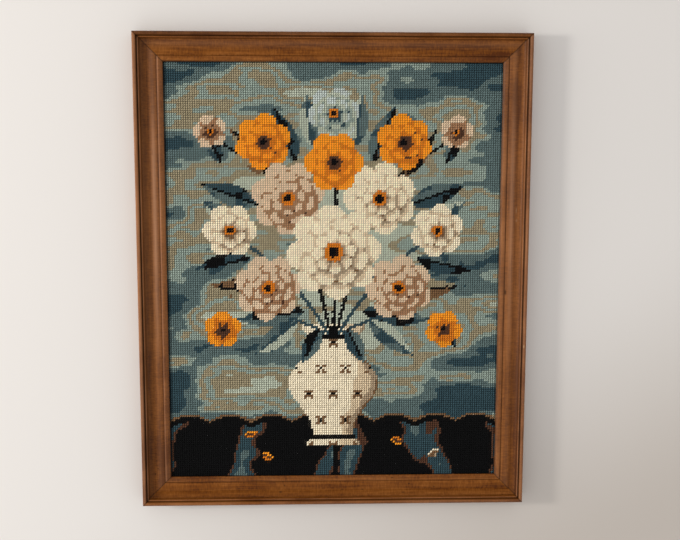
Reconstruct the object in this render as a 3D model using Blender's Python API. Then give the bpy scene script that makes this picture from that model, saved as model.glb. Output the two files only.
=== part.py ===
# Needlepoint canvas panel in a mitred wooden frame, lying on its back.
# Metres, +Z out of the worked face, +Y towards the picture's top, origin in the middle of the back.
# The canvas is one flat sheet: a bare woven margin with the stitched field standing proud on both faces.
# The frame is four lengths of one moulding, each cut at 45 degrees and a hair apart at the mitres.

import math

import bmesh
import bpy

# Frame, measured over its outer faces
FRAME_WIDTH = 0.390
FRAME_HEIGHT = 0.475
FRAME_DEPTH = 0.020
FACE_WIDTH = 0.0281
MITRE_GAP = 0.0003

# Moulding: "across" runs in from the outer face and "height" up from the back, with angles in degrees
BEAD_RADIUS = 0.0018
QUIRK = (0.0041, 0.0166)
FILLET_HEIGHT = 0.0173
FILLET_START = 0.0047
FILLET_END = 0.0057
SCOOP_RADIUS = 0.0060
SCOOP_ACROSS = 0.0106
SCOOP_HEIGHT = 0.0116
SCOOP_START = 222
SCOOP_END = 290
SWELL_RADIUS = 0.0140
SWELL_END = 72
VEE = (0.0223, 0.0116)
LIP_RADIUS = 0.0042
LIP_TOP = 0.0129
LIP_START = 110
LIP_END = 30
LEDGE_HEIGHT = 0.0103
REBATE_WIDTH = 0.0065
BACK_CHAMFER = 0.0004

# Canvas and stitches: 44 stitches across and 45 up to every 10 cm
STITCH_WIDE = 0.100 / 44
STITCH_HIGH = 0.100 / 45
COLUMNS = 148
ROWS = 190
CLOTH_THICKNESS = 0.0010
FRONT_PILE = 0.0012
BACK_PILE = 0.0006
SEAT_GAP = 0.0003
EDGE_CLEARANCE = 0.0006

WOOD_BROWN = (0.23, 0.095, 0.035, 1.0)
WOOL_TEAL = (0.13, 0.20, 0.19, 1.0)


def clear_scene():
    """Remove whatever objects the opened file holds."""
    for item in list(bpy.data.objects):
        bpy.data.objects.remove(item)


def make_material(name, colour, roughness):
    """A plain non-metallic Principled finish."""
    material = bpy.data.materials.new(name)
    material.use_nodes = True
    shader = material.node_tree.nodes["Principled BSDF"]
    shader.inputs["Base Color"].default_value = colour
    shader.inputs["Roughness"].default_value = roughness
    shader.inputs["Metallic"].default_value = 0.0
    return material


def add_object(name, mesh, material, parent, location=(0.0, 0.0, 0.0), turn=0):
    """Place a mesh as a named piece of the framed panel, turned about Z in degrees."""
    piece = bpy.data.objects.new(name, mesh)
    piece.data.materials.append(material)
    piece.location = location
    piece.rotation_euler = (0.0, 0.0, math.radians(turn))
    piece.parent = parent
    bpy.context.scene.collection.objects.link(piece)
    return piece


def arc(centre, radius, start, end, steps):
    """Points on a circle from one angle to another, in degrees."""
    points = []
    for step in range(steps + 1):
        angle = math.radians(start + (end - start) * step / steps)
        points.append((centre[0] + radius * math.cos(angle), centre[1] + radius * math.sin(angle)))
    return points


def moulding_section():
    """The moulding's outline as (across, height): bead, quirk, fillet, scoop, swell, vee, lip and rebate."""
    bead = arc((BEAD_RADIUS, FRAME_DEPTH - BEAD_RADIUS), BEAD_RADIUS, 180, 0, 12)
    fillet = [(FILLET_START, FILLET_HEIGHT), (FILLET_END, FILLET_HEIGHT)]
    scoop_centre = (SCOOP_ACROSS, SCOOP_HEIGHT + SCOOP_RADIUS)
    scoop = arc(scoop_centre, SCOOP_RADIUS, SCOOP_START, SCOOP_END, 8)
    # The swell leaves the scoop along the same tangent, so both centres lie on one line through that point.
    leave = math.radians(SCOOP_END)
    reach = SCOOP_RADIUS + SWELL_RADIUS
    swell_centre = (
        scoop_centre[0] + reach * math.cos(leave),
        scoop_centre[1] + reach * math.sin(leave),
    )
    swell = arc(swell_centre, SWELL_RADIUS, SCOOP_END - 180, SWELL_END, 6)[1:]
    lip_centre = (FACE_WIDTH - LIP_RADIUS * math.cos(math.radians(LIP_END)), LIP_TOP - LIP_RADIUS)
    lip = arc(lip_centre, LIP_RADIUS, LIP_START, LIP_END, 8)
    rebate_wall = FACE_WIDTH - REBATE_WIDTH
    rebate = [(FACE_WIDTH, LEDGE_HEIGHT), (rebate_wall, LEDGE_HEIGHT), (rebate_wall, 0.0)]
    back_edge = [(BACK_CHAMFER, 0.0), (0.0, BACK_CHAMFER)]
    return bead + [QUIRK] + fillet + scoop + swell + [VEE] + lip + rebate + back_edge


def rail_mesh(name, outer_length):
    """One length of moulding along X, its outer face on Y = 0, with both ends mitred."""
    model = bmesh.new()
    near_corners = [model.verts.new((0.0, across, height)) for across, height in moulding_section()]
    near_end = model.faces.new(near_corners)
    grown = bmesh.ops.extrude_face_region(model, geom=[near_end])
    far_corners = [item for item in grown["geom"] if isinstance(item, bmesh.types.BMVert)]
    # A cut at 45 degrees shortens the rail by as much as it runs across, and each rail gives half the gap.
    half_gap = MITRE_GAP / math.sqrt(2)
    for corner in near_corners:
        corner.co.x = -(outer_length / 2 - corner.co.y - half_gap)
    for corner in far_corners:
        corner.co.x = outer_length / 2 - corner.co.y - half_gap
    bmesh.ops.recalc_face_normals(model, faces=model.faces)
    mesh = bpy.data.meshes.new(name)
    model.to_mesh(mesh)
    model.free()
    mesh.shade_smooth()
    mesh.set_sharp_from_angle(angle=math.radians(30))
    return mesh


def build_frame(parent, wood):
    """Four mitred rails round the panel: two short and two long lengths of the moulding."""
    short_rail = rail_mesh("short_rail", FRAME_WIDTH)
    long_rail = rail_mesh("long_rail", FRAME_HEIGHT)
    half_width = FRAME_WIDTH / 2
    half_height = FRAME_HEIGHT / 2
    add_object("rail_bottom", short_rail, wood, parent, (0.0, -half_height, 0.0), 0)
    add_object("rail_right", long_rail, wood, parent, (half_width, 0.0, 0.0), 90)
    add_object("rail_top", short_rail, wood, parent, (0.0, half_height, 0.0), 180)
    add_object("rail_left", long_rail, wood, parent, (-half_width, 0.0, 0.0), 270)


def canvas_mesh():
    """The worked canvas as rectangles joined one to the next, from the back of the wool to its front."""
    rebate_wall = FACE_WIDTH - REBATE_WIDTH
    cut_x = FRAME_WIDTH / 2 - rebate_wall - EDGE_CLEARANCE
    cut_y = FRAME_HEIGHT / 2 - rebate_wall - EDGE_CLEARANCE
    field_x = COLUMNS * STITCH_WIDE / 2
    field_y = ROWS * STITCH_HIGH / 2
    wool_front = LEDGE_HEIGHT - SEAT_GAP
    cloth_front = wool_front - FRONT_PILE
    cloth_back = cloth_front - CLOTH_THICKNESS
    wool_back = cloth_back - BACK_PILE
    # Half width, half height, height above the frame's back
    rectangles = [
        (field_x, field_y, wool_back),
        (field_x, field_y, cloth_back),
        (cut_x, cut_y, cloth_back),
        (cut_x, cut_y, cloth_front),
        (field_x, field_y, cloth_front),
        (field_x, field_y, wool_front),
    ]
    model = bmesh.new()
    outlines = []
    for half_x, half_y, height in rectangles:
        ends = [(-half_x, -half_y), (half_x, -half_y), (half_x, half_y), (-half_x, half_y)]
        outlines.append([model.verts.new((x, y, height)) for x, y in ends])
    for lower, upper in zip(outlines, outlines[1:]):
        for corner in range(4):
            following = (corner + 1) % 4
            model.faces.new((lower[corner], lower[following], upper[following], upper[corner]))
    model.faces.new(outlines[0])
    model.faces.new(outlines[-1])
    bmesh.ops.recalc_face_normals(model, faces=model.faces)
    mesh = bpy.data.meshes.new("needlepoint_canvas")
    model.to_mesh(mesh)
    model.free()
    return mesh


def build_framed_panel():
    """The whole object, with each piece parented to one empty at the origin."""
    clear_scene()
    wood = make_material("stained_wood", WOOD_BROWN, 0.45)
    wool = make_material("tapestry_wool", WOOL_TEAL, 0.95)
    panel = bpy.data.objects.new("framed_panel", None)
    bpy.context.scene.collection.objects.link(panel)
    build_frame(panel, wood)
    add_object("needlepoint_canvas", canvas_mesh(), wool, panel)


build_framed_panel()
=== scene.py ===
import math

import bpy
import numpy as np
from mathutils import Matrix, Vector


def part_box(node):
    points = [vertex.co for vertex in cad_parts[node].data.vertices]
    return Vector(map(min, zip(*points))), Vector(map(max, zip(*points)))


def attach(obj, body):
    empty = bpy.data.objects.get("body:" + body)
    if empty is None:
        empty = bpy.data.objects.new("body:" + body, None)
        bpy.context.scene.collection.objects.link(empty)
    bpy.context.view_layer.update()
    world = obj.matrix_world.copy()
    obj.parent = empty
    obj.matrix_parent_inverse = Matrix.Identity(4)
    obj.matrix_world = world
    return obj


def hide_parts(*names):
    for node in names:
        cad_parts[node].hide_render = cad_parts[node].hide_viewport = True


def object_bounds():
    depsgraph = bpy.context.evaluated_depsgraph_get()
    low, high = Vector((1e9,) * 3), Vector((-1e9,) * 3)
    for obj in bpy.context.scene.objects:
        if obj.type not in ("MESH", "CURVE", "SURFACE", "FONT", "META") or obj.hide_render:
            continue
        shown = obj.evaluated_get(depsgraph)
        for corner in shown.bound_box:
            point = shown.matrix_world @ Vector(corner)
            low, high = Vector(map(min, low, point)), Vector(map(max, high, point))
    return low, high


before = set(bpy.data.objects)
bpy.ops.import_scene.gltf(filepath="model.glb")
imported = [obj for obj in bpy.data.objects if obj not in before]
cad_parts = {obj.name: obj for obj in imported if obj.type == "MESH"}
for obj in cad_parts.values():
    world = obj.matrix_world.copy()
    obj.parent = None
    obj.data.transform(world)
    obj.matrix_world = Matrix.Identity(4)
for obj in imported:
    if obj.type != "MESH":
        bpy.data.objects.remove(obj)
cad_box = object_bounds()

# Frame sizes in metres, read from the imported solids
FRAME_LOW, FRAME_HIGH = cad_box
FRAME_WIDTH = FRAME_HIGH.x - FRAME_LOW.x
FRAME_HEIGHT = FRAME_HIGH.y - FRAME_LOW.y
FRAME_DEPTH = FRAME_HIGH.z - FRAME_LOW.z
RAIL_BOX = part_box("rail_left")
FACE_WIDTH = RAIL_BOX[1].x - RAIL_BOX[0].x
CANVAS_LOW, CANVAS_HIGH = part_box("needlepoint_canvas")
CANVAS_WIDTH = CANVAS_HIGH.x - CANVAS_LOW.x
CANVAS_HEIGHT = CANVAS_HIGH.y - CANVAS_LOW.y

# Moulding in metres and degrees: "across" from the outer face inwards and "height" from the back
MITRE_GAP = 0.00006
BEAD_RADIUS = 0.0018
QUIRK = (0.0041, 0.0166)
FILLET_HEIGHT = 0.0173
FILLET_START = 0.0047
FILLET_END = 0.0057
SCOOP_RADIUS = 0.0060
SCOOP_ACROSS = 0.0106
SCOOP_HEIGHT = 0.0116
SCOOP_START = 222
SCOOP_END = 290
SWELL_RADIUS = 0.0140
SWELL_END = 72
VEE = (0.0223, 0.0116)
LIP_RADIUS = 0.0042
LIP_TOP = 0.0129
LIP_START = 110
LIP_END = 30
LEDGE_HEIGHT = 0.0103
REBATE_WIDTH = 0.0065
BACK_CHAMFER = 0.0004

# Canvas and stitches: 44 stitches across and 45 up to every 10 cm
STITCH_WIDE = 0.100 / 44
STITCH_HIGH = 0.100 / 45
COLUMNS = 148
ROWS = 190
CLOTH_THICKNESS = 0.0010
FRONT_PILE = 0.0012
BACK_PILE = CANVAS_HIGH.z - CANVAS_LOW.z - CLOTH_THICKNESS - FRONT_PILE
CLOTH_FRONT = CANVAS_HIGH.z - FRONT_PILE
CLOTH_BACK = CLOTH_FRONT - CLOTH_THICKNESS

# Yarn colours as sRGB, by the dyer's shade
YARNS = {
    "cream": (252, 238, 208),
    "beige": (228, 206, 172),
    "taupe": (176, 154, 126),
    "umber": (128, 96, 66),
    "black": (5, 5, 6),
    "dark_teal": (54, 78, 86),
    "mid_teal": (99, 118, 117),
    "grey_teal": (152, 167, 156),
    "sage": (190, 197, 178),
    "khaki": (162, 150, 121),
    "orange": (255, 162, 40),
    "amber": (222, 128, 34),
    "peach": (230, 204, 172),
    "rust": (172, 129, 94),
    "brown": (88, 58, 42),
    "pale_blue": (198, 208, 202),
}
YARN_NAMES = list(YARNS)


def linear(colour):
    """An sRGB colour of 0 to 255 as the linear red, green, blue and alpha that shaders take."""
    parts = np.asarray(colour, float) / 255
    curved = np.where(parts <= 0.04045, parts / 12.92, ((parts + 0.055) / 1.055) ** 2.4)
    return (*curved.tolist(), 1.0)


# Meshes

SHARP_ANGLE = 40.0


def add_mesh(name, points, face_groups, smooth_angle=180.0):
    """An object at the origin, from an (n, 3) array of points and arrays of corner numbers.

    Each array holds faces with the same number of corners. Edges that turn by more than the angle
    stay sharp."""
    mesh = bpy.data.meshes.new(name)
    mesh.vertices.add(len(points))
    mesh.vertices.foreach_set("co", np.asarray(points, np.float32).ravel())
    corners = np.concatenate([group.ravel() for group in face_groups])
    sizes = np.concatenate([np.full(len(group), group.shape[1]) for group in face_groups])
    mesh.loops.add(len(corners))
    mesh.loops.foreach_set("vertex_index", corners.astype(np.int32))
    mesh.polygons.add(len(sizes))
    mesh.polygons.foreach_set("loop_start", (np.cumsum(sizes) - sizes).astype(np.int32))
    mesh.update(calc_edges=True)
    mesh.shade_smooth()
    if smooth_angle < 180.0:
        mesh.set_sharp_from_angle(angle=math.radians(smooth_angle))
    thing = bpy.data.objects.new(name, mesh)
    bpy.context.scene.collection.objects.link(thing)
    return thing


def add_piece(name, points, face_groups, material, smooth_angle=180.0):
    """A piece of the object, riding on its one body and finished with one material."""
    piece = add_mesh(name, points, face_groups, smooth_angle)
    piece.data.materials.append(material)
    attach(piece, "root")
    return piece


def add_colours(piece, name, colours):
    """Keep one linear colour for each point of the mesh, for its material to read."""
    layer = piece.data.attributes.new(name, "FLOAT_COLOR", "POINT")
    layer.data.foreach_set("color", np.asarray(colours, np.float32).ravel())


def add_values(piece, name, values):
    """Keep one number for each point of the mesh, for its material to read."""
    layer = piece.data.attributes.new(name, "FLOAT", "POINT")
    layer.data.foreach_set("value", np.asarray(values, np.float32).ravel())


def add_map(piece, name, places):
    """Lay a UV map over the mesh from one (u, v) for each point."""
    corners = np.empty(len(piece.data.loops), np.int32)
    piece.data.loops.foreach_get("vertex_index", corners)
    layer = piece.data.uv_layers.new(name=name)
    layer.data.foreach_set("uv", np.asarray(places, np.float32)[corners].ravel())


def grid_faces(rows, columns, closed=False):
    """Four corner numbers for each cell of a grid of points, joined round to the first column if closed."""
    row = np.arange(rows - 1)[:, None]
    column = np.arange(columns if closed else columns - 1)[None, :]
    following = (column + 1) % columns
    cells = [row * columns + column, (row + 1) * columns + column]
    cells += [(row + 1) * columns + following, row * columns + following]
    return np.stack(cells, axis=-1).reshape(-1, 4)


# Shader nodes


class Value:
    """A number that varies over a surface. Arithmetic on it adds Math nodes to its look."""

    def __init__(self, look, socket):
        self.look = look
        self.socket = socket

    def __add__(self, other):
        return self.look.maths("ADD", self, other)

    def __sub__(self, other):
        return self.look.maths("SUBTRACT", self, other)

    def __rsub__(self, other):
        return self.look.maths("SUBTRACT", other, self)

    def __mul__(self, other):
        return self.look.maths("MULTIPLY", self, other)

    __radd__ = __add__
    __rmul__ = __mul__


class Nodes:
    """A node tree and the ways of adding nodes to it."""

    def __init__(self, tree):
        self.tree = tree

    def node(self, kind, settings=None, inputs=None, output=0):
        """Add a node: settings first, a ramp's stops among them, then its sockets' values or links."""
        added = self.tree.nodes.new(kind)
        for setting, value in (settings or {}).items():
            if setting == "stops":
                self.set_stops(added.color_ramp, value)
            else:
                setattr(added, setting, value)
        for socket, value in (inputs or {}).items():
            self.feed(added.inputs[socket], value)
        return Value(self, added.outputs[output])

    def set_stops(self, ramp, stops):
        """Give a colour ramp its (place, colour) stops."""
        while len(ramp.elements) < len(stops):
            ramp.elements.new(1.0)
        for element, (place, colour) in zip(ramp.elements, stops):
            element.position = place
            element.color = colour

    def feed(self, socket, value):
        """Link a varying value to a socket, or set a constant on it."""
        if isinstance(value, Value):
            self.tree.links.new(value.socket, socket)
        else:
            socket.default_value = value

    def maths(self, operation, first, second=0.0):
        """One Math node on values or numbers."""
        return self.node("ShaderNodeMath", {"operation": operation}, {0: first, 1: second})

    def clamped(self, value):
        """The value held between 0 and 1."""
        return self.node("ShaderNodeClamp", inputs={"Value": value})

    def step(self, value, low, high):
        """0 below low and 1 above high, eased between."""
        return self.node(
            "ShaderNodeMapRange",
            {"interpolation_type": "SMOOTHSTEP"},
            {"Value": value, "From Min": low, "From Max": high},
        )

    def mixed(self, share, first, second):
        """Two colours mixed: all of the first at a share of 0, all of the second at 1."""
        return self.node(
            "ShaderNodeMix",
            {"data_type": "RGBA", "clamp_factor": True},
            {"Factor": share, 6: first, 7: second},
            output=2,
        )

    def brightened(self, colour, share):
        """A colour scaled by a varying number."""
        return self.node(
            "ShaderNodeVectorMath", {"operation": "SCALE"}, {0: colour, "Scale": share}
        )

    def place(self, scale=(1.0, 1.0, 1.0), shift=(0.0, 0.0, 0.0)):
        """Object coordinates, shifted and stretched."""
        coordinates = self.node("ShaderNodeTexCoord", output="Object")
        return self.node(
            "ShaderNodeMapping", inputs={"Vector": coordinates, "Location": shift, "Scale": scale}
        )

    def uv(self, name):
        """The piece's own UV map of that name."""
        return self.node("ShaderNodeUVMap", {"uv_map": name})

    def attribute(self, name):
        """The number that the mesh keeps for each point."""
        return self.node("ShaderNodeAttribute", {"attribute_name": name}, output="Fac")

    def axis(self, vector, number):
        """One coordinate of a vector: 0, 1 or 2."""
        return self.node("ShaderNodeSeparateXYZ", inputs={0: vector}, output=number)

    def noise(self, place, scale, detail=2.0, roughness=0.5):
        """Soft random patches, mostly near one half."""
        return self.node(
            "ShaderNodeTexNoise",
            inputs={"Vector": place, "Scale": scale, "Detail": detail, "Roughness": roughness},
        )


class Look(Nodes):
    """One material with its Principled shader."""

    def __init__(self, name, **constants):
        self.material = bpy.data.materials.new(name)
        self.material.use_nodes = True
        super().__init__(self.material.node_tree)
        self.shader = self.tree.nodes["Principled BSDF"]
        for socket, value in constants.items():
            self.shader.inputs[socket.replace("_", " ")].default_value = value

    def bump(self, height, depth):
        """Feed a height of 0 to 1 to the shader's normal as relief of that many metres."""
        relief = self.node("ShaderNodeBump", inputs={"Height": height, "Distance": depth})
        self.feed(self.shader.inputs["Normal"], relief)


# Materials

WOOD_DARK = linear((78, 36, 3))
WOOD_MIDDLE = linear((118, 65, 12))
WOOD_LIGHT = linear((147, 89, 35))
# The worn colour also serves as painted highlight and painted sheen, and the stain colour as painted shade
WOOD_WORN_AND_HIGHLIGHT = linear((177, 130, 98))
WOOD_STAIN_AND_SHADE = linear((29, 13, 3))
WOOD_CHIP = linear((196, 160, 122))
WOOD_RELIEF = 0.00012
# Heights up the frame between which the side rails get painted shade towards each end, and how much
LOWER_END = (-0.22, 0.02)
LOWER_PAINTED_SHADE = 0.22
UPPER_END = (0.09, 0.20)
UPPER_PAINTED_SHADE = 0.11
# How far noise is drawn out along the grain and across it, and moved from one rail to the next
GRAIN_STRETCH = 0.045
FIGURE_STRETCH = 0.22
RAIL_SHIFT = 0.7
# Patches of noise to the metre
BROAD_SCALE = 90.0
STREAK_SCALE = 620.0
PORE_SCALE = 2600.0
FIGURE_SCALE = 700.0
PATCH_SCALE = 22.0


def wood_look(name, runs_up, number, finish, marks):
    """Brown stained wood: broad tone, streaks and pores are noise stretched along the rail's length, and
    figure is noise stretched across it. A rail that runs up has painted shade towards both ends.

    The mesh says where the stain lies dark in hollows, where arrises are worn and where bands of painted
    highlight and shade lie. The finish gives how much lighter the rail is, how much painted sheen pales it,
    and how far its arrises are rubbed. Each mark is an oval about its place, a dark fleck or a pale chip."""
    tint, painted_sheen, rubbing = finish
    look = Look(name, Roughness=0.42, Specular_IOR_Level=0.12)
    along = (1.0, GRAIN_STRETCH, 1.0) if runs_up else (GRAIN_STRETCH, 1.0, 1.0)
    athwart = (FIGURE_STRETCH, 1.0, 1.0) if runs_up else (1.0, FIGURE_STRETCH, 1.0)
    shift = (RAIL_SHIFT * number, RAIL_SHIFT * number, 0.0)
    grain = look.place(along, shift)
    broad = look.noise(grain, BROAD_SCALE, 3.0)
    streaks = look.noise(grain, STREAK_SCALE, 4.0, 0.6)
    pores = look.noise(grain, PORE_SCALE, 2.0, 0.6)
    figure = look.noise(look.place(athwart, shift), FIGURE_SCALE, 3.0, 0.6)
    patches = look.noise(look.place(shift=shift), PATCH_SCALE, 3.0, 0.55)
    up = look.axis(look.place(), 1)
    # Painted shade towards both ends of the side rails
    painted_shade_below = (1 - look.step(up, *LOWER_END)) * LOWER_PAINTED_SHADE
    painted_shade_above = look.step(up, *UPPER_END) * UPPER_PAINTED_SHADE
    painted_end_shade = (painted_shade_below + painted_shade_above) * (1.0 if runs_up else 0.0)
    tone = broad * 0.9 + streaks * 0.8 + figure * 0.8 + patches * 0.6 - 1.05 + tint - painted_end_shade
    colour = look.node(
        "ShaderNodeValToRGB",
        {"stops": [(0.2, WOOD_DARK), (0.5, WOOD_MIDDLE), (0.85, WOOD_LIGHT)]},
        {"Fac": tone},
    )
    pits = look.step(pores, 0.60, 0.74)
    colour = look.mixed(pits * 0.35, colour, WOOD_DARK)
    # Painted sheen pales the side rails, less where their ends have painted shade
    colour = look.mixed(painted_sheen * (1 - painted_end_shade * 3), colour, WOOD_WORN_AND_HIGHLIGHT)
    # Painted highlight in the worn colour where the mesh's bands are above 0, and painted shade in the stain
    # colour where they are below
    toned = look.attribute("toned")
    colour = look.mixed(look.clamped(toned * (0.6 + streaks * 0.8)), colour, WOOD_WORN_AND_HIGHLIGHT)
    colour = look.mixed(look.clamped(toned * -1), colour, WOOD_STAIN_AND_SHADE)
    rubbed = look.attribute("worn") * (0.35 + look.step(patches + streaks * 0.4, 0.5, 0.85) * 0.65)
    colour = look.mixed(rubbed * rubbing, colour, WOOD_WORN_AND_HIGHLIGHT)
    soiled = look.attribute("hollow") * (0.65 + patches * 0.5)
    colour = look.mixed(look.clamped(soiled), colour, WOOD_STAIN_AND_SHADE)
    for x, y, half_wide, half_high, strength in marks:
        scale = (1 / half_wide, 1 / half_high, 0.0)
        oval = look.place(scale, (-x / half_wide, -y / half_high, 0.0))
        distance = look.node("ShaderNodeVectorMath", {"operation": "LENGTH"}, {0: oval}, output=1)
        spot = 1 - look.step(distance + streaks * 0.6, 0.5, 1.3)
        mark_colour = WOOD_STAIN_AND_SHADE if strength > 0 else WOOD_CHIP
        colour = look.mixed(spot * abs(strength), colour, mark_colour)
    look.feed(look.shader.inputs["Base Color"], colour)
    look.feed(look.shader.inputs["Roughness"], 0.38 + patches * 0.14 + pits * 0.2)
    look.bump(streaks * 0.5 - pits * 0.8 + patches * 0.6, WOOD_RELIEF)
    return look.material


PLY_TURNS = 2.5 * 2 * math.pi
PLY_SLANT = 2 * 2 * math.pi
WOOL_FIBRE_SCALE = 2400.0
WOOL_PATCH_SCALE = 60.0
WOOL_RELIEF = 0.00025


def wool_look(name, colour):
    """Matt tapestry wool: plies wind round the stitch, with faint painted shade between them. The mesh gives
    each point's tone and painted shade.
    """
    look = Look(name, Roughness=0.95, Specular_IOR_Level=0.1, Sheen_Weight=0.02, Sheen_Roughness=0.5)
    ply = look.uv("ply")
    winding = look.maths("SINE", look.axis(ply, 0) * PLY_TURNS + look.axis(ply, 1) * PLY_SLANT)
    fibres = look.noise(look.place(), WOOL_FIBRE_SCALE, 2.0, 0.6)
    patches = look.noise(look.place(), WOOL_PATCH_SCALE, 2.0)
    light = look.attribute("light") * (0.87 + winding * 0.07 + fibres * 0.14 + patches * 0.12)
    look.feed(look.shader.inputs["Base Color"], look.brightened(linear(colour)[:3], light))
    look.bump(winding * 0.4 + fibres * 0.5, WOOL_RELIEF)
    return look.material


THREADS_TURN = 4 * math.pi
HOLE_REACH = (0.10, 0.2)
HOLE_PAINTED_SHADE = linear((14, 13, 12))
CANVAS_FIBRE_SCALE = 3000.0
CANVAS_RELIEF = 0.0004


def canvas_look():
    """Stiff cotton canvas: double threads with a hole at every corner of the stitch count, painted dark as
    its shade, and printed with the design where it is worked."""
    look = Look("cotton_canvas", Roughness=0.9, Specular_IOR_Level=0.2)
    count = look.uv("count")
    across = look.axis(count, 0)
    up = look.axis(count, 1)
    from_column = look.maths("PINGPONG", across, 0.5)
    from_row = look.maths("PINGPONG", up, 0.5)
    hole = (1 - look.step(from_column, *HOLE_REACH)) * (1 - look.step(from_row, *HOLE_REACH))
    threads = look.maths("SINE", across * THREADS_TURN) * look.maths("SINE", up * THREADS_TURN)
    fibres = look.noise(look.place(), CANVAS_FIBRE_SCALE, 3.0, 0.6)
    print_colour = look.node("ShaderNodeAttribute", {"attribute_name": "print"}, output="Color")
    colour = look.brightened(print_colour, 0.85 + fibres * 0.3)
    look.feed(look.shader.inputs["Base Color"], look.mixed(hole, colour, HOLE_PAINTED_SHADE))
    look.bump(threads * 0.3 + fibres * 0.2 - hole, CANVAS_RELIEF)
    return look.material


# Pale floor colour, and the painted shade that deepens it towards the lower right
FLOOR_PAINTED_SHADE = linear((191, 183, 175))
FLOOR_PALE = linear((222, 218, 214))


def floor_look():
    """Pale matt floor, with painted shade deepening it towards the lower right."""
    look = Look("pale_floor", Roughness=0.75, Specular_IOR_Level=0.2)
    across = look.axis(look.place(), 0)
    up = look.axis(look.place(), 1)
    cloudy = look.noise(look.place(), 3.0, 2.0)
    outside_painted_shade = look.step(up * 0.9 - across * 0.46 + cloudy * 0.05, -0.38, -0.08)
    look.feed(look.shader.inputs["Base Color"], look.mixed(outside_painted_shade, FLOOR_PAINTED_SHADE, FLOOR_PALE))
    return look.material


# Moulding

OUTLINE_STEP = 0.00042
ARRIS_SOFTENING = (0.06, 0.24, 0.40, 0.24, 0.06)
WEAR_SCALE = 1.6
SCOOP_TURN = 0.12
HOLLOW_SCALE = 2.8
# Heights up the frame, and how much of a painted highlight band that fades is left at each
CREST_HEIGHTS = (-0.10, 0.03, 0.11, 0.18)
CREST_HIGHLIGHT_SHARES = (0.15, 1.0, 1.0, 0.25)
RAIL_STATIONS = 27
END_STATIONS = (0.0009, 0.0030)
JOINT_DARKNESS = 0.90
WANDER = 0.00007
WANDER_DROP = 2 * WANDER


def arc(centre, radius, start, end, count):
    """Points on a circle: centre plus radius times cosine and sine of evenly spaced angles in degrees."""
    angles = np.radians(np.linspace(start, end, count))
    return np.column_stack([centre[0] + radius * np.cos(angles), centre[1] + radius * np.sin(angles)])


def moulding_face():
    """The shaped face as (across, height), from the outer bead over quirk, scoop and swell to the lip."""
    bead = arc((BEAD_RADIUS, FRAME_DEPTH - BEAD_RADIUS), BEAD_RADIUS, 180, 0, 13)
    fillet = [(FILLET_START, FILLET_HEIGHT), (FILLET_END, FILLET_HEIGHT)]
    scoop_centre = (SCOOP_ACROSS, SCOOP_HEIGHT + SCOOP_RADIUS)
    scoop = arc(scoop_centre, SCOOP_RADIUS, SCOOP_START, SCOOP_END, 12)
    leave = math.radians(SCOOP_END)
    reach = SCOOP_RADIUS + SWELL_RADIUS
    swell_centre = (
        scoop_centre[0] + reach * math.cos(leave),
        scoop_centre[1] + reach * math.sin(leave),
    )
    swell = arc(swell_centre, SWELL_RADIUS, SCOOP_END - 180, SWELL_END, 10)[1:]
    lip_centre = (FACE_WIDTH - LIP_RADIUS * math.cos(math.radians(LIP_END)), LIP_TOP - LIP_RADIUS)
    lip = arc(lip_centre, LIP_RADIUS, LIP_START, LIP_END, 9)
    return np.vstack([bead, [QUIRK], fillet, scoop, swell, [VEE], lip])


def even_steps(outline, step):
    """The same outline with a point at every equal length along it."""
    lengths = np.concatenate([[0.0], np.cumsum(np.hypot(*np.diff(outline, axis=0).T))])
    marks = np.linspace(0.0, lengths[-1], int(lengths[-1] / step) + 1)
    return np.column_stack([np.interp(marks, lengths, outline[:, side]) for side in (0, 1)])


def smoothed(values):
    """Each value averaged with its two neighbours on both sides, the ends held."""
    padded = np.pad(values, [(2, 2)] + [(0, 0)] * (values.ndim - 1), mode="edge")
    return sum(weight * padded[shift:shift + len(values)] for shift, weight in enumerate(ARRIS_SOFTENING))


def moulding_section():
    """The whole section with its arrises rounded, and how raised or hollow it is at each point.

    The turn from one step to the next is the cross product of their directions, so it is negative at
    an arris and positive in a hollow."""
    even = even_steps(moulding_face(), OUTLINE_STEP)
    face = smoothed(even)
    face[0] = even[0]
    face[-1] = even[-1]
    steps = np.diff(face, axis=0) / OUTLINE_STEP
    turns = np.zeros(len(face))
    turns[1:-1] = steps[:-1, 0] * steps[1:, 1] - steps[:-1, 1] * steps[1:, 0]
    turns = smoothed(turns) * WEAR_SCALE
    wall = FACE_WIDTH - REBATE_WIDTH
    rebate = [(FACE_WIDTH, LEDGE_HEIGHT), (wall, LEDGE_HEIGHT), (wall, 0.0)]
    plain = rebate + [(BACK_CHAMFER, 0.0), (0.0, BACK_CHAMFER)]
    section = np.vstack([face, plain])
    worn = np.concatenate([np.clip(-turns, 0.0, 1.0), np.zeros(len(plain))])
    hollow = np.clip((turns - SCOOP_TURN) * HOLLOW_SCALE, 0.0, 1.0)
    hollow = np.concatenate([hollow, np.zeros(len(plain))])
    return section, worn, hollow


def painted_light_bands(across, up, bands):
    """How much painted highlight (above 0) or painted shade (below 0) each point has: the sum of a bell
    curve for each band.
    """
    highlight_share = np.interp(up, CREST_HEIGHTS, CREST_HIGHLIGHT_SHARES)
    toned = np.zeros_like(up)
    for place, spread, amount, fades in bands:
        bell = amount * np.exp(-(((across - place) / spread) ** 2))
        toned += bell[None, :] * (highlight_share if fades else 1.0)
    return toned


def face_distance(turn):
    """How far a rail's outer face is from the middle of the frame."""
    return FRAME_WIDTH / 2 if turn % 180 else FRAME_HEIGHT / 2


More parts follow.
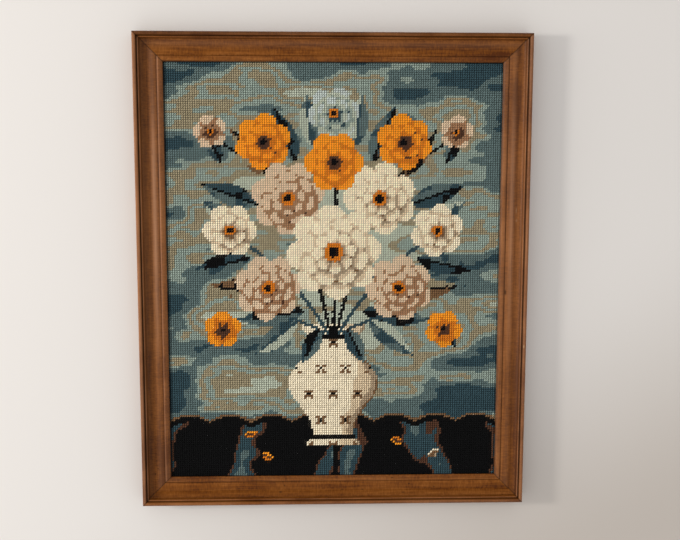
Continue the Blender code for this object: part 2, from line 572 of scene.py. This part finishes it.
def add_rail(side, outer_length, turn, seed, material, bands):
    """The moulding's section carried along a straight rail whose ends are cut at 45 degrees.

    A point that lies "across" in from the outer face runs from minus to plus half the outer length less
    "across". The shaped face wanders up and down by up to 0.13 mm on the way, and is let down by
    0.14 mm to stay within its solid."""
    section, worn, hollow = moulding_section()
    across = section[:, 0]
    height = section[:, 1]
    half = outer_length / 2
    inner = np.linspace(-1.0, 1.0, RAIL_STATIONS)
    near_ends = [1.0 - distance / half for distance in END_STATIONS]
    stations = np.sort(np.concatenate([inner, near_ends, [-station for station in near_ends]]))
    along = stations[:, None] * (half - across - MITRE_GAP / math.sqrt(2))[None, :]
    rng = np.random.default_rng(seed)
    phase = rng.uniform(0.0, 2 * math.pi, (2, 3))
    waves = sum(np.sin(stations * (3 + 4 * k) + phase[0, k]) / (k + 1) for k in range(3))
    ease = 1.0 - np.abs(stations) ** 8
    shaped = (height > LEDGE_HEIGHT)[None, :]
    lift = WANDER * (waves * ease)[:, None] * shaped
    flat = np.broadcast_to(across - face_distance(turn), along.shape)
    level = height[None, :] + lift - WANDER_DROP * shaped
    angle = math.radians(turn)
    x = along * math.cos(angle) - flat * math.sin(angle)
    y = along * math.sin(angle) + flat * math.cos(angle)
    points = np.stack([x, y, level], axis=-1).reshape(-1, 3)
    count = len(section)
    last = (len(stations) - 1) * count
    near_end = np.arange(count)[None, :]
    far_end = last + near_end[:, ::-1]
    faces = [grid_faces(len(stations), count, closed=True), near_end, far_end]
    rail = add_piece("moulding_" + side, points, faces, material, SHARP_ANGLE)
    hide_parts("rail_" + side)
    from_end = half - np.abs(along) - across[None, :]
    joint = np.clip(1.0 - from_end / END_STATIONS[0], 0.0, 1.0)
    # Bands of painted highlight and painted shade across the moulding, kept on the mesh for the wood to read
    add_values(rail, "toned", painted_light_bands(across, y, bands))
    add_values(rail, "worn", np.broadcast_to(worn, along.shape))
    add_values(rail, "hollow", np.maximum(hollow[None, :], joint * JOINT_DARKNESS))


# Chart of the stitched design, in millimetres from the middle of the canvas

LATTICE_HEIGHT = 460
LATTICE_WIDTH = 380
COLUMN_MIDDLES = (np.arange(COLUMNS) + 0.5 - COLUMNS / 2) * STITCH_WIDE * 1000
ROW_MIDDLES = (np.arange(ROWS) + 0.5 - ROWS / 2) * STITCH_HIGH * 1000
ACROSS, UP = np.meshgrid(COLUMN_MIDDLES, ROW_MIDDLES)
chart = np.zeros((ROWS, COLUMNS), int)


def mottle(seed, size, stretch=1.0):
    """Smooth random patches that many millimetres high: lattice values from 0 to 1, eased between."""
    shape = (int(LATTICE_HEIGHT / size) + 3, int(LATTICE_WIDTH / size) + 3)
    lattice = np.random.default_rng(seed).random(shape)
    column = (ACROSS - ACROSS.min()) / (size * stretch)
    row = (UP - UP.min()) / size
    left = column.astype(int)
    low = row.astype(int)
    right_share = (1 - np.cos((column - left) * math.pi)) / 2
    high_share = (1 - np.cos((row - low) * math.pi)) / 2
    lower = lattice[low, left] * (1 - right_share) + lattice[low, left + 1] * right_share
    upper = lattice[low + 1, left] * (1 - right_share) + lattice[low + 1, left + 1] * right_share
    return lower * (1 - high_share) + upper * high_share


def fill(inside, yarn):
    """Chart every stitch inside a shape in one yarn."""
    chart[inside] = YARN_NAMES.index(yarn)


def shade_in(inside, shade, tones):
    """Chart a shape in a row of tones, from a shade of 0 for the first to 1 for the last."""
    steps = np.clip((shade * len(tones)).astype(int), 0, len(tones) - 1)
    for step, yarn in enumerate(tones):
        fill(inside & (steps == step), yarn)


def turned(centre, turn):
    """Distances from a centre along and beside a direction in degrees."""
    angle = math.radians(turn)
    x = ACROSS - centre[0]
    y = UP - centre[1]
    return x * math.cos(angle) + y * math.sin(angle), y * math.cos(angle) - x * math.sin(angle)


TONES = {
    "cream": ("cream", "cream", "beige", "taupe", "umber"),
    "peach": ("peach", "peach", "rust", "rust", "brown"),
    "orange": ("orange", "orange", "amber", "amber", "brown"),
    "blue": ("pale_blue", "sage", "grey_teal", "dark_teal"),
    "dark_leaf": ("mid_teal", "dark_teal", "black"),
    "sage_leaf": ("sage", "mid_teal", "dark_teal"),
    "khaki_leaf": ("khaki", "umber", "black"),
}
MIDRIB_HALF_WIDTH = 1.2
MIDRIB_REACH = 0.8
HEART_SHARE = 0.2
CORE_SHARE = 0.55


def leaf(centre, turn, length, width, tones):
    """A pointed leaf with a midrib, one side a tone darker. Half its width is a sine of the way along."""
    along, beside = turned(centre, turn)
    way = np.clip(along / length, 0.0, 1.0)
    edge = width / 2 * np.sin(math.pi * way ** 0.8)
    inside = (along > 0) & (along < length) & (np.abs(beside) < edge)
    shade = 0.2 + 0.4 * (beside < 0) + 0.5 * (mottle(int(abs(turn)) + 3, 9) - 0.4)
    shade_in(inside, shade, TONES[tones])
    fill(inside & (np.abs(beside) < MIDRIB_HALF_WIDTH) & (way < MIDRIB_REACH), TONES[tones][-1])


def bloom(centre, radius, petals, turn, tones, whorls):
    """Rings of petals, each smaller and turned by half a petal.

    A petal's edge is a raised cosine of the angle. The shade deepens in the seams between petals,
    towards the heart and away from the upper left."""
    x, y = turned(centre, turn)
    distance = np.hypot(x, y)
    angle = np.arctan2(y, x)
    lit = np.cos(angle + math.radians(turn - 125))
    for whorl in range(whorls):
        size = radius * (1 - whorl / (whorls + 0.7))
        inner = radius * (1 - (whorl + 1) / (whorls + 0.7))
        swing = petals * angle / 2 + whorl * math.pi / 2
        edge = size * (0.78 + 0.22 * np.abs(np.cos(swing)) ** 0.7)
        tucked = np.clip((edge - distance) / (edge - 0.8 * inner), 0.0, 1.0)
        seam = np.abs(np.sin(swing)) ** 9
        rough = mottle(int(radius * 7) + whorl, 7) - 0.5
        shade = 0.08 + 0.72 * tucked ** 1.7 + 0.45 * seam * (1 - tucked * 0.5) - 0.15 * lit + 0.2 * rough
        shade_in(distance < edge, shade, TONES[tones])


def heart(centre, radius, ring, middle):
    """The flower's dotted middle: a ring of one yarn about a core of another."""
    x, y = turned(centre, 0)
    distance = np.hypot(x, y) + 1.5 * (mottle(77, 5) - 0.5)
    fill(distance < radius, ring)
    fill(distance < radius * CORE_SHARE, middle)


def stem(start, bend, end, thickness, yarn):
    """A curved stalk: stitches close to a quadratic curve through three control points."""
    way = np.linspace(0.0, 1.0, 80)[:, None, None]
    x = (1 - way) ** 2 * start[0] + 2 * way * (1 - way) * bend[0] + way ** 2 * end[0]
    y = (1 - way) ** 2 * start[1] + 2 * way * (1 - way) * bend[1] + way ** 2 * end[1]
    fill(np.hypot(ACROSS - x, UP - y).min(axis=0) < thickness / 2, yarn)


def chart_ground():
    """Mottled bands in greyed greens, palest about the flowers and darkest in the corners."""
    far = np.hypot(ACROSS / 190, (UP - 20) / 235)
    ripple = np.sin(UP / 17 + 1.2 * np.sin(ACROSS / 48) + 2.6 * mottle(5, 60))
    streaks = mottle(8, 15, 3.2) + 0.35 * mottle(9, 6, 2.5) - 0.675
    tone = 0.14 + 0.60 * far + 0.15 * ripple + 0.66 * streaks
    tones = ("sage", "sage", "khaki", "grey_teal", "khaki", "grey_teal", "mid_teal", "mid_teal", "dark_teal")
    shade_in(np.ones_like(chart, bool), tone, tones)


CLOTH_EDGE = -155
CLOTH_SCALLOP = 21


def chart_cloth():
    """A black cloth along the bottom, with soft folds and a scalloped edging."""
    scallop = 7 * np.abs(np.sin(ACROSS * math.pi / CLOTH_SCALLOP / 2))
    top = CLOTH_EDGE + scallop
    fill(UP < top + 4.5, "umber")
    fill(UP < top + 2, "black")
    folds = np.sin(ACROSS / 13 + (UP + 150) * 0.02 * np.sign(ACROSS) + 2 * mottle(21, 40))
    lift = folds + 0.5 * mottle(22, 12)
    fill((UP < top - 4) & (lift > 0.85), "brown")
    fill((UP < top - 4) & (lift > 1.0), "dark_teal")
    fill((UP < top - 4) & (lift > 1.3), "mid_teal")


VASE_FOOT = -178
VASE_RIM = -52
SPRIG_WIDE = 25.0
SPRIG_HIGH = 27.0


def chart_vase():
    """A cream vase. Its half width is a plain neck plus a bell curve each for foot, belly and rim."""
    way = (UP - VASE_FOOT) / (VASE_RIM - VASE_FOOT)
    half = 19 + 27 * np.exp(-(((way - 0.52) / 0.24) ** 2))
    half += 9 * np.exp(-((way / 0.07) ** 2)) + 13 * np.exp(-(((way - 1) / 0.09) ** 2))
    inside = (way > 0) & (way < 1) & (np.abs(ACROSS) < half)
    turn = ACROSS / half
    shade = 0.2 + 0.36 * turn + 0.3 * np.abs(turn) ** 4 + 0.3 * (mottle(31, 12) - 0.5)
    shade_in(inside, shade, TONES["cream"])
    row = np.round((UP - VASE_FOOT) / SPRIG_HIGH)
    beside = ACROSS - SPRIG_WIDE * (np.round(ACROSS / SPRIG_WIDE - 0.5 * (row % 2)) + 0.5 * (row % 2))
    above = UP - VASE_FOOT - SPRIG_HIGH * row
    reach = np.hypot(beside, above)
    petals = reach < 6.4 * np.abs(np.sin(2 * np.arctan2(above, beside)))
    fill(inside & petals & (np.abs(turn) < 0.85), "umber")
    fill(inside & (reach < 1.7), "black")
    for band in (0.07, 0.9):
        fill(inside & (np.abs(way - band) < 0.017), "black")


STEMS = [
    # start x, y, bend x, y, end x, y, thickness, yarn
    (-6, -60, -40, 0, -104, 42, 3.6, "dark_teal"),
    (6, -60, 40, 0, 104, 42, 3.6, "dark_teal"),
    (-3, -60, -30, 60, -70, 138, 3.6, "black"),
    (3, -60, 30, 60, 70, 138, 3.6, "black"),
    (0, -60, 4, 60, 0, 158, 3.6, "black"),
    (-10, -60, -60, -30, -112, -52, 3.0, "dark_teal"),
    (10, -60, 60, -30, 112, -52, 3.0, "dark_teal"),
    (-70, 110, -96, 118, -122, 140, 2.6, "black"),
    (70, 110, 96, 118, 122, 140, 2.6, "black"),
]

LEAVES = [
    # x, y, turn, length, width, tones, and each has its mirror image
    (30, -38, -8, 66, 24, "dark_leaf"),
    (36, -48, -38, 58, 21, "sage_leaf"),
    (66, -20, 8, 62, 22, "khaki_leaf"),
    (84, 16, -12, 58, 22, "dark_leaf"),
    (88, 44, 34, 54, 20, "sage_leaf"),
    (76, 70, 20, 60, 22, "dark_leaf"),
    (64, 96, 52, 62, 21, "khaki_leaf"),
    (38, 112, 68, 60, 22, "dark_leaf"),
    (22, 128, 84, 52, 19, "sage_leaf"),
    (104, -50, -50, 34, 14, "dark_leaf"),
    (112, 112, 66, 36, 14, "dark_leaf"),
    (14, -56, -64, 40, 17, "dark_leaf"),
]

BLOOMS = [
    # x, y, radius, petals, turn, tones, whorls
    (-112, -56, 19, 5, 15, "orange", 1),
    (112, -56, 19, 5, 60, "orange", 1),
    (-122, 142, 17, 5, 30, "peach", 1),
    (122, 142, 17, 5, 10, "peach", 1),
    (-104, 44, 27, 6, 0, "cream", 2),
    (104, 44, 27, 6, 20, "cream", 2),
    (0, 160, 26, 6, 10, "blue", 2),
    (-70, 132, 28, 6, 20, "orange", 2),
    (70, 132, 28, 6, 40, "orange", 2),
    (-66, -14, 34, 7, 8, "peach", 3),
    (66, -14, 34, 7, 30, "peach", 3),
    (-46, 76, 37, 7, 12, "peach", 3),
    (46, 76, 37, 7, 25, "cream", 3),
    (0, 22, 48, 8, 5, "cream", 3),
    (0, 112, 30, 6, 0, "orange", 2),
]

FALLEN = [
    # x, y, turn, length, width, tones
    (-92, -168, 20, 15, 8, "orange"),
    (-74, -186, -25, 14, 8, "orange"),
    (72, -176, 160, 15, 8, "orange"),
    (98, -190, 30, 14, 8, "cream"),
]


def chart_design():
    """Chart the whole canvas from the back forward: ground, cloth, vase, stems, leaves, flowers."""
    chart_ground()
    chart_cloth()
    chart_vase()
    for x, y, bend_x, bend_y, end_x, end_y, thickness, yarn in STEMS:
        stem((x, y), (bend_x, bend_y), (end_x, end_y), thickness, yarn)
    for x, y, turn, length, width, tones in LEAVES:
        leaf((x, y), turn, length, width, tones)
        leaf((-x, y), 180 - turn, length, width, tones)
    for x, y, radius, petals, turn, tones, whorls in BLOOMS:
        bloom((x, y), radius, petals, turn, tones, whorls)
        heart((x, y), radius * HEART_SHARE, "brown" if tones == "orange" else "amber", "black")
    for x, y, turn, length, width, tones in FALLEN:
        leaf((x, y), turn, length, width, tones)


# Stitches

WARP_SWAY = 0.00035
STITCH_STATIONS = np.array([
    # way along, half width, top, bottom, in metres over the cloth, how deep in the wool top and sides lie
    # for painted shade
    (0.13, 0.00074, 0.00086, -0.00015, 0.18, 0.92),
    (0.50, 0.00092, 0.00112, 0.00008, 0.00, 0.32),
    (0.87, 0.00074, 0.00086, -0.00015, 0.18, 0.92),
])
SHOULDER_LEVEL = 0.45
STITCH_SINK = 0.00045
STITCH_SEED = 12
ROW_PULL = 0.035
COLUMN_PULL = 0.03
PLUMP_SPREAD = 0.05
LEAN_SPREAD = 0.00005
BACK_HALF_WIDTH = 0.00062
# How deep the points of a back stitch lie, for painted shade: lower hole, side, inside, side, outside, upper
# hole
BACK_DEEP = (1.0, 0.6, 0.6, 0.6, 0.0, 1.0)
LIGHT_SEED = 40
# How much painted shade darkens the wool where it lies deepest, standing for the shade between stitches
DEEP_PAINTED_SHADE = 0.92
STITCH_DIMMEST = 1.32
STITCH_RANGE = 0.20
# Painted shadow that the frame's lip casts on the wool, widest and darkest on the left
PAINTED_LIP_SHADOWS = [
    # axis, side of the picture, full painted shadow to here and none from there in metres, how dark
    (0, -1, 0.0012, 0.0028, 0.80),
    (0, 1, 0.0002, 0.0014, 0.60),
    (1, -1, 0.0002, 0.0012, 0.50),
    (1, 1, 0.0004, 0.0016, 0.70),
]


def hole_place(column, row):
    """Where a canvas hole lies, in metres: the even count, pulled a little by slow sine waves."""
    x = (column - COLUMNS / 2) * STITCH_WIDE
    y = (row - ROWS / 2) * STITCH_HIGH
    pull_x = WARP_SWAY * np.sin(y * 17 + 0.6) * np.cos(x * 9)
    pull_y = WARP_SWAY * np.sin(x * 21 + 1.9) * np.cos(y * 8)
    return x + pull_x, y + pull_y


def stitch_points(column, row):
    """Fourteen points for each front stitch, as an (n, 14, 3) array.

    A slanting stitch runs from the hole at its lower left to the one at its upper right. At three places
    on the way it has a diamond section: left, top, right, bottom. Both ends come to a point in the hole."""
    rng = np.random.default_rng(STITCH_SEED)
    start_x, start_y = hole_place(column, row)
    end_x, end_y = hole_place(column + 1, row + 1)
    run_x = end_x - start_x
    run_y = end_y - start_y
    length = np.hypot(run_x, run_y)
    row_pull = rng.normal(0.0, ROW_PULL, ROWS)[row]
    column_pull = rng.normal(0.0, COLUMN_PULL, COLUMNS)[column]
    plump = 1.0 + row_pull + column_pull + rng.normal(0.0, PLUMP_SPREAD, len(row))
    lean = rng.normal(0.0, LEAN_SPREAD, len(row))
    way, half_width, top, bottom = STITCH_STATIONS.T[:4]
    half = half_width[None, :] * plump[:, None]
    high = top[None, :] * (0.45 + 0.55 * plump[:, None])
    low = np.broadcast_to(bottom[None, :], high.shape)
    middle_x = start_x[:, None] + run_x[:, None] * way[None, :]
    middle_y = start_y[:, None] + run_y[:, None] * way[None, :]
    beside_x = -(run_y / length)[:, None]
    beside_y = (run_x / length)[:, None]
    sides = []
    for side, level in ((1.0, SHOULDER_LEVEL), (0.0, 1.0), (-1.0, SHOULDER_LEVEL), (0.0, 0.0)):
        reach = side * half + lean[:, None]
        height = CLOTH_FRONT + low + (high - low) * level
        sides.append(np.stack([middle_x + beside_x * reach, middle_y + beside_y * reach, height], axis=-1))
    rings = np.stack(sides, axis=2).reshape(len(row), 12, 3)
    sunk = np.full(len(row), CLOTH_FRONT - STITCH_SINK)
    start = np.stack([start_x, start_y, sunk], axis=-1)[:, None, :]
    end = np.stack([end_x, end_y, sunk], axis=-1)[:, None, :]
    return np.concatenate([start, rings, end], axis=1)


def back_points(column, row):
    """Six points for the upright bar behind each stitch: a hole, four round its middle, the hole above."""
    top_x, top_y = hole_place(column + 1, row + 1)
    foot_x, foot_y = hole_place(column + 1, row)
    x = (top_x + foot_x) / 2
    y = (top_y + foot_y) / 2
    level = np.full(len(row), CLOTH_BACK - BACK_PILE / 2)
    spread = [(1, 0.0), (0, BACK_PILE / 2), (-1, 0.0), (0, -BACK_PILE / 2)]
    ring = [np.stack([x + side * BACK_HALF_WIDTH, y, level + rise], axis=-1) for side, rise in spread]
    sunk = np.full(len(row), CLOTH_BACK + STITCH_SINK)
    ends = [np.stack([foot_x, foot_y, sunk], axis=-1), np.stack([top_x, top_y, sunk], axis=-1)]
    return np.stack([ends[0], *ring, ends[1]], axis=1)


def spindle_faces(rings):
    """Corner numbers of the triangles and quads of a closed spindle: a point, rings of four, a point."""
    side = np.arange(4)
    after = (side + 1) % 4
    last = 1 + 4 * rings
    base = last - 4
    caps = [np.stack([np.zeros(4, int), 1 + after, 1 + side], axis=-1)]
    caps.append(np.stack([np.full(4, last), base + side, base + after], axis=-1))
    quads = []
    for ring in range(rings - 1):
        here = 1 + 4 * ring
        quads.append(np.stack([here + side, here + after, here + 4 + after, here + 4 + side], axis=-1))
    return np.concatenate(caps), np.concatenate(quads) if quads else np.zeros((0, 4), int)


def repeated(faces, count, points_each, first=0):
    """The same faces for every stitch, numbered on from one stitch to the next."""
    offsets = first + np.arange(count) * points_each
    return (faces[None, :, :] + offsets[:, None, None]).reshape(-1, faces.shape[1])


def painted_lip_shadow(points):
    """How bright the wool is under the frame lip's painted shadow: 1, but falling evenly towards the lip in
    a narrow strip.
    """
    light = np.ones(len(points))
    for axis, side, near, far, strength in PAINTED_LIP_SHADOWS:
        opening = (FRAME_WIDTH, FRAME_HEIGHT)[axis] / 2 - FACE_WIDTH
        inward = opening - side * points[:, axis]
        light *= 1 - strength * (1 - np.clip((inward - near) / (far - near), 0.0, 1.0))
    return light


def add_stitches(yarn, colour):
    """All the stitches worked in one yarn, front and back, joined as one piece."""
    row, column = np.nonzero(chart == YARN_NAMES.index(yarn))
    count = len(row)
    front = stitch_points(column, row)
    back = back_points(column, row)
    front_caps, front_quads = spindle_faces(3)
    back_caps, _ = spindle_faces(1)
    behind = count * front.shape[1]
    triangles = np.concatenate([
        repeated(front_caps, count, front.shape[1]),
        repeated(back_caps, count, back.shape[1], behind),
    ])
    quads = repeated(front_quads, count, front.shape[1])
    points = np.concatenate([front.reshape(-1, 3), back.reshape(-1, 3)])
    wool = wool_look(yarn + "_wool", colour)
    piece = add_piece("stitches_" + yarn, points, [triangles, quads], wool)
    rng = np.random.default_rng(LIGHT_SEED + YARN_NAMES.index(yarn))
    # Each stitch has its own random tone, set above the yarn's colour to make up for the painted shade
    own_tone = STITCH_DIMMEST + STITCH_RANGE * rng.random(count)
    # Painted shade deep in the wool between the stitches, times the painted shadow of the frame's lip
    deep_top, deep_side = STITCH_STATIONS.T[4:]
    deep = np.stack([deep_side, deep_top, deep_side, np.ones(3)], axis=1).ravel()
    front_deep = np.concatenate([[1.0], deep, [1.0]])
    front_tone_and_painted_shade = np.outer(own_tone, 1 - DEEP_PAINTED_SHADE * front_deep).ravel() * painted_lip_shadow(points[:behind])
    back_tone_and_painted_shade = np.outer(own_tone, 1 - DEEP_PAINTED_SHADE * np.array(BACK_DEEP)).ravel()
    add_values(piece, "light", np.concatenate([front_tone_and_painted_shade, back_tone_and_painted_shade]))
    way = np.concatenate([[0.0], np.repeat(STITCH_STATIONS[:, 0], 4), [1.0]])
    around = np.concatenate([[0.5], np.tile([0.0, 0.25, 0.5, 0.75], 3), [0.5]])
    back_way = np.array([0.0, 0.5, 0.5, 0.5, 0.5, 1.0])
    back_around = np.array([0.5, 0.0, 0.25, 0.5, 0.75, 0.5])
    ply = np.concatenate([
        np.tile(np.column_stack([way, around]), (count, 1)),
        np.tile(np.column_stack([back_way, back_around]), (count, 1)),
    ])
    add_map(piece, "ply", ply)
    baked = (points[:, :2] - [CANVAS_LOW.x, CANVAS_LOW.y]) / max(CANVAS_WIDTH, CANVAS_HEIGHT)
    add_map(piece, "OFBake", baked)
    return piece


# Canvas

CANVAS_COUNT_STEP = 2
CANVAS_BARE = linear((216, 205, 182))
# The print is dimmed below the yarns' colours as painted shade between the stitches
PRINT_UNDER_PAINTED_SHADE = 0.7


def add_canvas():
    """The woven sheet under the wool: one grid of points for each face, joined round their rims.

    The grid follows the stitch count, with one more line at each cut edge beyond the stitches."""
    columns = np.concatenate([[0], np.arange(0, COLUMNS + 1, CANVAS_COUNT_STEP), [COLUMNS]]).astype(float)
    rows = np.concatenate([[0], np.arange(0, ROWS + 1, CANVAS_COUNT_STEP), [ROWS]]).astype(float)
    column, row = np.meshgrid(columns, rows)
    x, y = hole_place(column, row)
    x[:, 0] = CANVAS_LOW.x
    x[:, -1] = CANVAS_HIGH.x
    y[0, :] = CANVAS_LOW.y
    y[-1, :] = CANVAS_HIGH.y
    height, width = x.shape
    front = np.stack([x, y, np.full_like(x, CLOTH_FRONT)], axis=-1).reshape(-1, 3)
    back = np.stack([x, y, np.full_like(x, CLOTH_BACK)], axis=-1).reshape(-1, 3)
    numbers = np.arange(height * width).reshape(height, width)
    rim = np.concatenate([numbers[0, :-1], numbers[:-1, -1], numbers[-1, :0:-1], numbers[:0:-1, 0]])
    following = np.roll(rim, -1)
    below = len(front)
    cells = grid_faces(height, width)
    edges = np.stack([rim, rim + below, following + below, following], axis=-1)
    faces = [np.concatenate([cells[:, ::-1], cells + below, edges])]
    points = np.concatenate([front, back])
    canvas = add_piece("canvas_sheet", points, faces, canvas_look(), SHARP_ANGLE)
    count = np.stack([x / STITCH_WIDE + COLUMNS / 2, y / STITCH_HIGH + ROWS / 2], axis=-1).reshape(-1, 2)
    add_map(canvas, "count", np.concatenate([count, count]))
    yarns = np.array([linear(colour) for colour in YARNS.values()])
    printed = np.broadcast_to(CANVAS_BARE, (height, width, 4)).copy()
    beside_row = rows[1:-1].astype(int).clip(0, ROWS - 1)
    beside_column = columns[1:-1].astype(int).clip(0, COLUMNS - 1)
    beside = chart[beside_row][:, beside_column]
    # The design's print, dimmed as painted shade between the stitches
    printed[1:-1, 1:-1, :3] = yarns[beside][:, :, :3] * PRINT_UNDER_PAINTED_SHADE
    back_colours = np.broadcast_to(CANVAS_BARE, (below, 4))
    add_colours(canvas, "print", np.concatenate([printed.reshape(-1, 4), back_colours]))
    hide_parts("needlepoint_canvas")


# Camera, light and floor

CAMERA_AIM = (0.0060, 0.0055, FRAME_DEPTH)
CAMERA_TILT = 7.21
CAMERA_SWING = -1.95
CAMERA_ROLL = 0.105
CAMERA_DISTANCE = 0.9591
CAMERA_LENS = 51.0
SENSOR_WIDTH = 36.0
NEAREST_SEEN = 0.05
FARTHEST_SEEN = 20.0
FLOOR_HALF = 3.0
WINDOW_PLACE = (-1.80, 0.22, 0.95)
WINDOW_SIZE = 0.24
WINDOW_POWER = 16.1
FILL_PLACE = (-1.95, 0.10, 0.72)
FILL_SIZE = 0.70
FILL_POWER = 8.5
LAMP_COLOUR = (1.0, 0.975, 0.93)
SKY_COLOUR = (1.0, 0.985, 0.975, 1.0)
SKY_OVERHEAD = 0.58
SKY_RISE = 0.64
SKY_LEAN = 0.45


def add_camera():
    """Looks down at the face, leaning over its top edge as the photograph's camera does."""
    data = bpy.data.cameras.new("camera")
    data.lens = CAMERA_LENS
    data.sensor_width = SENSOR_WIDTH
    data.clip_start = NEAREST_SEEN
    data.clip_end = FARTHEST_SEEN
    camera = bpy.data.objects.new("camera", data)
    turn = (
        Matrix.Rotation(math.radians(CAMERA_SWING), 4, "Y")
        @ Matrix.Rotation(math.radians(-CAMERA_TILT), 4, "X")
        @ Matrix.Rotation(math.radians(CAMERA_ROLL), 4, "Z")
    )
    camera.matrix_world = Matrix.Translation(CAMERA_AIM) @ turn @ Matrix.Translation((0, 0, CAMERA_DISTANCE))
    bpy.context.scene.collection.objects.link(camera)
    bpy.context.scene.camera = camera


def add_lamp(name, place, size, power, colour):
    """A square soft lamp that faces the middle of the panel."""
    data = bpy.data.lights.new(name, "AREA")
    data.shape = "SQUARE"
    data.size = size
    data.energy = power
    data.color = colour
    lamp = bpy.data.objects.new(name, data)
    lamp.location = place
    aim = -lamp.location
    lamp.rotation_euler = aim.to_track_quat("-Z", "Y").to_euler()
    bpy.context.scene.collection.objects.link(lamp)


def studio_sky():
    """Pale fill from all round, its strength rising from overhead to the horizon and towards the left."""
    world = bpy.data.worlds.new("studio")
    world.use_nodes = True
    sky = Nodes(world.node_tree)
    background = sky.tree.nodes["Background"]
    direction = sky.node("ShaderNodeTexCoord", output="Generated")
    across = sky.axis(direction, 0)
    height = sky.clamped(sky.axis(direction, 2))
    background.inputs["Color"].default_value = SKY_COLOUR
    strength = SKY_OVERHEAD + (1 - height) * (1 - across * SKY_LEAN) * SKY_RISE
    sky.feed(background.inputs["Strength"], strength)
    return world


def add_studio():
    """A pale floor, a small lamp and a broader one below it, both on the left, and a pale sky for fill."""
    corners = np.array([(-1, -1, 0), (1, -1, 0), (1, 1, 0), (-1, 1, 0)]) * FLOOR_HALF
    floor = add_mesh("floor", corners, [np.array([[0, 1, 2, 3]])])
    floor.data.materials.append(floor_look())
    add_lamp("window_lamp", WINDOW_PLACE, WINDOW_SIZE, WINDOW_POWER, LAMP_COLOUR)
    add_lamp("fill_lamp", FILL_PLACE, FILL_SIZE, FILL_POWER, LAMP_COLOUR)
    bpy.context.scene.world = studio_sky()
    bpy.context.scene.view_settings.view_transform = "Standard"


add_camera()
add_studio()

chart_design()
all_stitches = [add_stitches(yarn, colour) for yarn, colour in YARNS.items()]
add_canvas()

RAILS = [
    # side, outer length, turn, grain runs up, finish: tint, painted sheen, rubbed arrises
    ("bottom", FRAME_WIDTH, 0, False, (-0.02, 0.0, 0.65)),
    ("right", FRAME_HEIGHT, 90, True, (0.00, 0.16, 0.80)),
    ("top", FRAME_WIDTH, 180, False, (-0.04, 0.0, 0.35)),
    ("left", FRAME_HEIGHT, 270, True, (0.02, 0.14, 0.80)),
]

# Painted highlights and painted shade in bands across each rail's moulding
PAINTED_LIGHT_BANDS = {
    # across and spread in metres, painted highlight above 0 or painted shade below it, whether it fades away
    # from mid height
    "bottom": [
        (0.0008, 0.0010, -0.25, False),
        (0.0041, 0.0007, -0.50, False),
        (0.0075, 0.0025, -0.12, False),
    ],
    "right": [
        (0.0041, 0.0007, -0.80, False),
        (0.0080, 0.0030, -0.08, False),
        (0.0170, 0.0021, 0.42, True),
        (0.0275, 0.0008, -0.45, False),
    ],
    "top": [
        (0.0006, 0.0010, -0.55, False),
        (0.0024, 0.0012, -0.30, False),
        (0.0041, 0.0007, -0.70, False),
        (0.0110, 0.0034, 0.17, False),
        (0.0278, 0.0007, -0.55, False),
    ],
    "left": [
        (0.0027, 0.0010, 0.34, False),
        (0.0041, 0.0007, -1.00, False),
        (0.0080, 0.0030, -0.38, False),
        (0.0178, 0.0021, 0.66, True),
        (0.0232, 0.0006, 0.22, False),
        (0.0250, 0.0009, -0.16, False),
    ],
}

MARKS = {
    # x, y, half width, half height in metres, then 0 to 1 for a dark fleck or below 0 for a pale chip
    "bottom": [
        (-0.0976, -0.2218, 0.0016, 0.0010, 0.5),
        (-0.0547, -0.2265, 0.0026, 0.0017, 0.6),
        (-0.0505, -0.2191, 0.0013, 0.0014, 0.7),
        (0.0090, -0.2240, 0.0026, 0.0014, 0.5),
        (0.0296, -0.2242, 0.0022, 0.0012, 0.6),
        (0.0605, -0.2118, 0.0020, 0.0010, 0.6),
        (0.0720, -0.2279, 0.0026, 0.0012, 0.5),
        (0.0781, -0.2183, 0.0015, 0.0011, 0.7),
        (0.0997, -0.2090, 0.0014, 0.0010, 0.6),
        (0.1040, -0.2218, 0.0018, 0.0012, 0.6),
    ],
    "right": [
        (0.1739, -0.0188, 0.0016, 0.0034, 0.7),
        (0.1925, -0.0732, 0.0008, 0.0030, -0.6),
        (0.1829, 0.0638, 0.0006, 0.0050, -0.5),
        (0.1833, 0.0540, 0.0016, 0.0022, -0.25),
    ],
    "top": [
        (-0.1210, 0.2260, 0.0022, 0.0008, 0.4),
        (0.0830, 0.2210, 0.0024, 0.0008, 0.4),
    ],
    "left": [
        (-0.1796, -0.1998, 0.0010, 0.0014, 0.7),
        (-0.1828, -0.2061, 0.0012, 0.0016, 0.6),
        (-0.1785, 0.1210, 0.0007, 0.0042, 0.3),
    ],
}

for number, (side, length, turn, runs_up, finish) in enumerate(RAILS):
    wood = wood_look(side + "_moulding_wood", runs_up, number, finish, MARKS[side])
    add_rail(side, length, turn, number, wood, PAINTED_LIGHT_BANDS[side])
